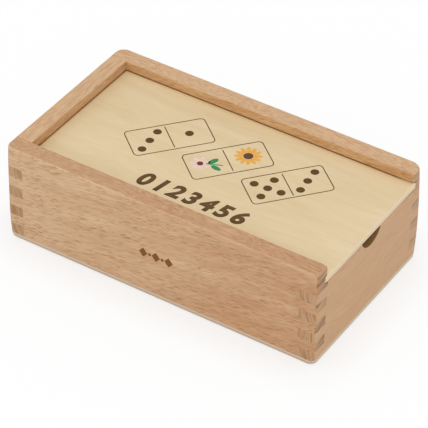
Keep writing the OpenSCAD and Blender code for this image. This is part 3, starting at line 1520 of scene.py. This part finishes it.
    def print_blooms(self, domino: int) -> None:
        """Print the two blooms that a domino shows in place of pips.

        Args:
            domino: Which one, from 0 at the closed end.
        """
        for bloom in self.blooms:
            middle = self.at(domino, bloom.along, bloom.across)
            ink = InkFinish(f"{bloom.name}_ink", *bloom.ink).make(self.groups)
            self.make_petals(bloom, middle).dress(ink, "lid", "lid_plywood")
            eye_ink = InkFinish(f"{bloom.name}_eye_ink", *bloom.eye_ink).make(self.groups)
            self.make_eye(bloom, middle).dress(eye_ink, "lid", "lid_plywood")
        green = InkFinish("green_ink", "#2c8553", "#3d9762").make(self.groups)
        self.make_leaves(domino).dress(green, "lid", "lid_plywood")

    def make_numbers(self) -> Workpiece:
        """Print the row of plain slanted numbers.

        Returns:
            The print.
        """
        bpy.ops.object.select_all(action="DESELECT")
        x, y = self.numbers_from
        bpy.ops.object.text_add(location=(x * MM, y * MM, (self.high.z - self.ink_sink) * MM))
        row = bpy.context.object
        row.data.body = "0123456"
        row.data.size = self.type_size * MM
        row.data.shear = self.type_slant
        row.data.offset = self.type_weight * MM
        row.data.space_character = self.type_spacing
        row.data.resolution_u = self.type_steps
        bpy.ops.object.convert(target="MESH")
        numbers = Workpiece(bpy.context.object, "numbers")
        numbers.face_out()
        return self.raise_ink(numbers)

    def build(self) -> None:
        """Make the sheet and its print."""
        ply = PlyFinish("lid_ply", (self.low.z, self.high.z), face="#e4cfa7", shade="#dac195",
                        core="#e6cda9", sawn="#f7e1c2", open_w=self.open_w, open_l=self.open_l,
                        groove_shade_end=self.high.x - self.groove_shade_short, drift=(-0.5, 0.0, 0.0)).make(self.groups)
        self.make_sheet().dress(ply, "lid", "lid_plywood", "lid")
        brown = InkFinish("brown_ink", "#553c17", "#684b22").make(self.groups)
        half = self.half
        three = [(k * self.pip_step, -k * self.pip_step) for k in (-1, 0, 1)]
        four = [(i * self.five_step, j * self.five_step) for i in (-1, 1) for j in (-1, 1)]
        three_and_one = [(x - half, y) for x, y in three] + [(half, 0.0)]
        five_and_three = [(x - half, y) for x, y in four + [(0.0, 0.0)]] + [(x + half, y) for x, y in three]
        prints = [self.make_outline(k) for k in range(len(self.centres))]
        prints.append(self.make_pips(0, three_and_one))
        prints.append(self.make_pips(2, five_and_three))
        for piece in prints:
            piece.dress(brown, "lid", "lid_plywood")
        thin_brown = InkFinish("thin_brown_ink", "#5e4422", "#70532f").make(self.groups)
        self.make_numbers().dress(thin_brown, "lid", "lid_plywood")
        self.print_blooms(1)


# ------------------------------------------------------------------------------------- the studio


@dataclass
class Studio:
    """The pale floor, the soft light and the camera."""

    # The camera looks from this far round the front and from this far up, and leans by roll, in degrees
    azimuth: float = 31.694
    elevation: float = 39.008
    roll: float = 1.355
    # How far it stands from the point that it looks at, and the focal length of its lens
    distance: float = 1282.13
    aim: Point = (1.82, -1.89, 21.83)
    lens: float = 215.44
    # The floor's size in metres, and the tone by which it lights the box
    floor_size: float = 6.0
    floor_tone: tuple[float, float, float, float] = (0.65, 0.64, 0.63, 1.0)
    # How much of the floor's shadow shows beside the box and away from it, and where it has faded
    shadow: float = 0.42
    faint: float = 0.12
    shadow_reach: float = 26.0
    # Strength of the even room light, and the soft lamp's place and size in metres and its power in watts
    room_light: float = 0.895
    key_at: Point = (0.6, -1.5, 1.15)
    key_size: float = 1.3
    key_power: float = 7.0

    def place_camera(self) -> None:
        """Stand the camera."""
        yaw, pitch = math.radians(self.azimuth), math.radians(self.elevation)
        back = Vector((math.sin(yaw) * math.cos(pitch), -math.cos(yaw) * math.cos(pitch), math.sin(pitch)))
        data = bpy.data.cameras.new("camera")
        data.lens = self.lens
        data.clip_start = 0.05
        data.clip_end = 50.0
        camera = bpy.data.objects.new("camera", data)
        bpy.context.scene.collection.objects.link(camera)
        level = back.to_track_quat("Z", "Y").to_matrix().to_4x4()
        turned = level @ Matrix.Rotation(math.radians(self.roll), 4, "Z")
        camera.matrix_world = Matrix.Translation((Vector(self.aim) + back * self.distance) * MM) @ turned
        bpy.context.scene.camera = camera

    def seen(self, sketch: Sketch) -> bpy.types.NodeSocket:
        """Tell the rays by which the backdrop is seen, straight or in a reflection, from its light.

        Args:
            sketch: The sketch of the floor's or the room's look.

        Returns:
            1 for those rays, and 0 for the rest.
        """
        path = sketch.add("LightPath")
        turned = sketch.maths("MAXIMUM", path.outputs["Is Glossy Ray"], path.outputs["Is Transmission Ray"])
        return sketch.maths("MAXIMUM", path.outputs["Is Camera Ray"], turned)

    def lay_floor(self) -> None:
        """Lay the floor, which the camera sees as white with a faint shadow."""
        bpy.ops.object.select_all(action="DESELECT")
        bpy.ops.mesh.primitive_plane_add(size=self.floor_size)
        floor = bpy.context.object
        floor.name = "floor"
        material = bpy.data.materials.new("white_floor")
        material.use_nodes = True
        sketch = Sketch(material.node_tree)
        sketch.tree.nodes.clear()
        matt = sketch.add("BsdfDiffuse", {"Color": self.floor_tone})
        pale = sketch.add("BsdfDiffuse", {"Color": WHITE})
        glow = sketch.add("Emission", {"Color": WHITE, "Strength": 1.0})
        # The floor takes the box's shadow, and fades into the white of the backdrop away from it
        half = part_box("bottom_panel")[1]
        place = sketch.vector("ABSOLUTE", sketch.add("TexCoord").outputs["Object"])
        beyond = sketch.vector("MAXIMUM", sketch.vector("SUBTRACT", place, (half[0], half[1], 0.0)),
                               (0.0, 0.0, 0.0))
        near = sketch.ramp(sketch.vector("LENGTH", beyond), self.shadow_reach * MM, 0.0)
        shade = sketch.maths("MULTIPLY_ADD", near, self.shadow - self.faint, self.faint)
        shown = sketch.add("MixShader", {0: shade, 1: glow.outputs[0], 2: pale.outputs[0]})
        both = sketch.add("MixShader", {0: self.seen(sketch), 1: matt.outputs[0], 2: shown.outputs[0]})
        out = sketch.add("OutputMaterial")
        sketch.plug(out.inputs["Surface"], both.outputs[0])
        floor.data.materials.append(material)

    def add_lamp(self, name: str, place: Point, size: float, power: float) -> None:
        """Hang a soft lamp that faces the box.

        Args:
            name: What the lamp is called.
            place: Where it hangs, in metres.
            size: The side of its square, in metres.
            power: Its power in watts.
        """
        data = bpy.data.lights.new(name, "AREA")
        data.shape = "SQUARE"
        data.size = size
        data.energy = power
        lamp = bpy.data.objects.new(name, data)
        bpy.context.scene.collection.objects.link(lamp)
        turn = Vector(place).to_track_quat("Z", "Y").to_matrix().to_4x4()
        lamp.matrix_world = Matrix.Translation(place) @ turn

    def light(self) -> None:
        """Set the even room light and the soft lamp."""
        world = bpy.data.worlds.new("room")
        world.use_nodes = True
        bpy.context.scene.world = world
        sketch = Sketch(world.node_tree)
        sketch.tree.nodes.clear()
        room = sketch.add("Background", {"Color": WHITE, "Strength": self.room_light})
        white = sketch.add("Background", {"Color": WHITE, "Strength": 1.0})
        both = sketch.add("MixShader", {0: self.seen(sketch), 1: room.outputs[0], 2: white.outputs[0]})
        sketch.plug(sketch.add("OutputWorld").inputs["Surface"], both.outputs[0])
        self.add_lamp("key", self.key_at, self.key_size, self.key_power)

    def build(self) -> None:
        """Set up the whole studio."""
        bpy.context.scene.view_settings.view_transform = "Standard"
        self.place_camera()
        self.lay_floor()
        self.light()


def main() -> None:
    """Build the box and its studio."""
    logging.basicConfig(level=logging.INFO, format="%(name)s: %(message)s")
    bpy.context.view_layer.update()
    groups = Groups()
    Studio().build()
    Case(groups).build()
    Lid(groups).build()
    bpy.context.view_layer.update()


if __name__ == "__main__":
    main()
